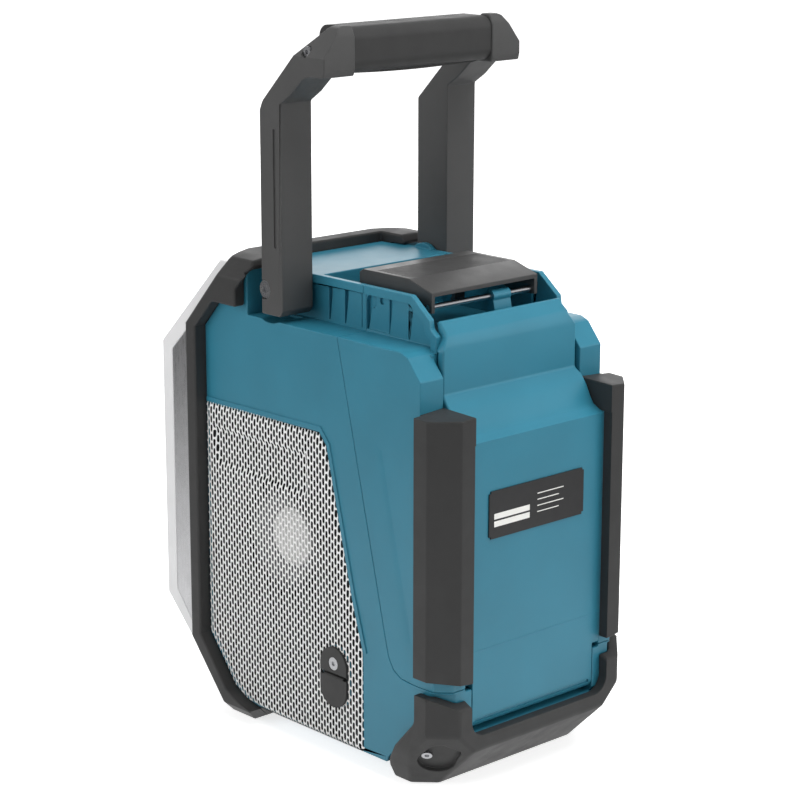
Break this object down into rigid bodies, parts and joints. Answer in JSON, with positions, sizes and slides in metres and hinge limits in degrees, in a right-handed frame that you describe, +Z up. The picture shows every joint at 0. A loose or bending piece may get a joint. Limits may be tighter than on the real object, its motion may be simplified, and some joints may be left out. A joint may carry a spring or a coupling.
{
  "type": "jobsite radio",
  "caption": "Jobsite radio in a rubber-bumpered plastic case, with a fold-down carry handle, a latched rear battery cover, side speaker grilles and a front control panel.",
  "frame": {"origin": "centre of the bounding box on the ground, with the handle raised", "axes": "+Z up, -Y towards the front control panel, +Y towards the battery cover, +X towards the power inlet's side"},
  "size_m": [0.162, 0.268, 0.43],
  "materials": {
    "housing": "fine moulded texture",
    "rubber": "matt, fine grain",
    "bezel": "silver paint, satin",
    "black_plastic": "matt, fine grain",
    "mesh": "satin silver",
    "cloth": "fine black cloth",
    "cone": "pressed paper",
    "steel": "zinc plated",
    "core": "moulded",
    "board": "solder mask",
    "ferrite": "sintered",
    "window": "clear, glossy",
    "display": "grey-green display",
    "power": "satin red"
  },
  "bodies": {
    "case": {"front_housing": "housing", "rear_housing": "housing", "front_bumper": "rubber", "lower_bumper": "rubber", "corner_guard_right": "rubber", "corner_guard_left": "rubber", "front_bezel": "bezel", "front_frame": "black_plastic", "control_panel": "black_plastic", "display_window": "window", "lcd_module": "display", "main_board": "board", "knob_encoder": "steel", "aux_jack": "black_plastic", "tweeter_grille_right": "mesh", "tweeter_grille_left": "mesh", "tweeter_right": "black_plastic", "tweeter_left": "black_plastic", "side_grille_right": "mesh", "side_grille_left": "mesh", "speaker_cloth_right": "cloth", "speaker_cloth_left": "cloth", "woofer_frame_right": "steel", "woofer_frame_left": "steel", "woofer_surround_right": "rubber", "woofer_surround_left": "rubber", "woofer_cone_right": "cone", "woofer_cone_left": "cone", "woofer_magnet_right": "steel", "woofer_magnet_left": "steel", "dc_jack": "black_plastic", "dc_cover_base": "rubber", "dc_cover_screw": "steel", "amp_board": "board", "ferrite_antenna": "ferrite", "battery_bay": "black_plastic", "battery_terminal": "black_plastic", "cover_seal": "rubber", "cover_hinge_pin": "steel", "handle_pivot_bolts": "steel", "bumper_screws": "steel"},
    "handle": {"handle_arm_right": "black_plastic", "handle_arm_left": "black_plastic", "handle_grip": "rubber", "handle_core": "core", "handle_screws": "steel"},
    "cover": {"battery_cover": "housing", "label_plate": "black_plastic", "latch_rod": "steel"},
    "latch": {"latch_lever": "black_plastic"},
    "knob": {"tuning_knob": "black_plastic", "knob_shaft": "steel"},
    "power_key": {"power_button": "power"},
    "source_key": {"source_button": "rubber"},
    "menu_key": {"menu_button": "rubber"},
    "preset_key_1": {"preset_button_1": "rubber"},
    "preset_key_2": {"preset_button_2": "rubber"},
    "preset_key_3": {"preset_button_3": "rubber"},
    "preset_key_4": {"preset_button_4": "rubber"},
    "inlet_flap": {"dc_port_cover": "rubber"}
  },
  "joints": [
    {"name": "handle_fold", "type": "hinge", "parent": "case", "child": "handle", "pos_m": [0, -0.0209, 0.2754], "axis": [1, 0, 0], "range_deg": [-86, 0]},
    {"name": "cover_open", "type": "hinge", "parent": "case", "child": "cover", "pos_m": [0, 0.122, 0.044], "axis": [-1, 0, 0], "range_deg": [0, 85]},
    {"name": "latch_lift", "type": "hinge", "parent": "cover", "child": "latch", "pos_m": [0, 0.081, 0.2754], "axis": [-1, 0, 0], "range_deg": [0, 75]},
    {"name": "tuning_spin", "type": "hinge", "parent": "case", "child": "knob", "pos_m": [0, -0.128, 0.12], "axis": [0, 1, 0], "continuous": true},
    {"name": "power_press", "type": "slide", "parent": "case", "child": "power_key", "axis": [0, 1, 0], "range_m": [0, 0.0012], "stiffness_N_per_m": 300, "springref_m": -0.0008},
    {"name": "source_press", "type": "slide", "parent": "case", "child": "source_key", "axis": [0, 1, 0], "range_m": [0, 0.0012], "stiffness_N_per_m": 300, "springref_m": -0.0008},
    {"name": "menu_press", "type": "slide", "parent": "case", "child": "menu_key", "axis": [0, 1, 0], "range_m": [0, 0.0012], "stiffness_N_per_m": 300, "springref_m": -0.0008},
    {"name": "preset_press_1", "type": "slide", "parent": "case", "child": "preset_key_1", "axis": [0, 1, 0], "range_m": [0, 0.0012], "stiffness_N_per_m": 300, "springref_m": -0.0008},
    {"name": "preset_press_2", "type": "slide", "parent": "case", "child": "preset_key_2", "axis": [0, 1, 0], "range_m": [0, 0.0012], "stiffness_N_per_m": 300, "springref_m": -0.0008},
    {"name": "preset_press_3", "type": "slide", "parent": "case", "child": "preset_key_3", "axis": [0, 1, 0], "range_m": [0, 0.0012], "stiffness_N_per_m": 300, "springref_m": -0.0008},
    {"name": "preset_press_4", "type": "slide", "parent": "case", "child": "preset_key_4", "axis": [0, 1, 0], "range_m": [0, 0.0012], "stiffness_N_per_m": 300, "springref_m": -0.0008},
    {"name": "inlet_flap_open", "type": "hinge", "parent": "case", "child": "inlet_flap", "pos_m": [0.07435, 0.037, 0.0516], "axis": [0, -1, 0], "range_deg": [0, 120], "stiffness_Nm_per_rad": 0.003}
  ]
}
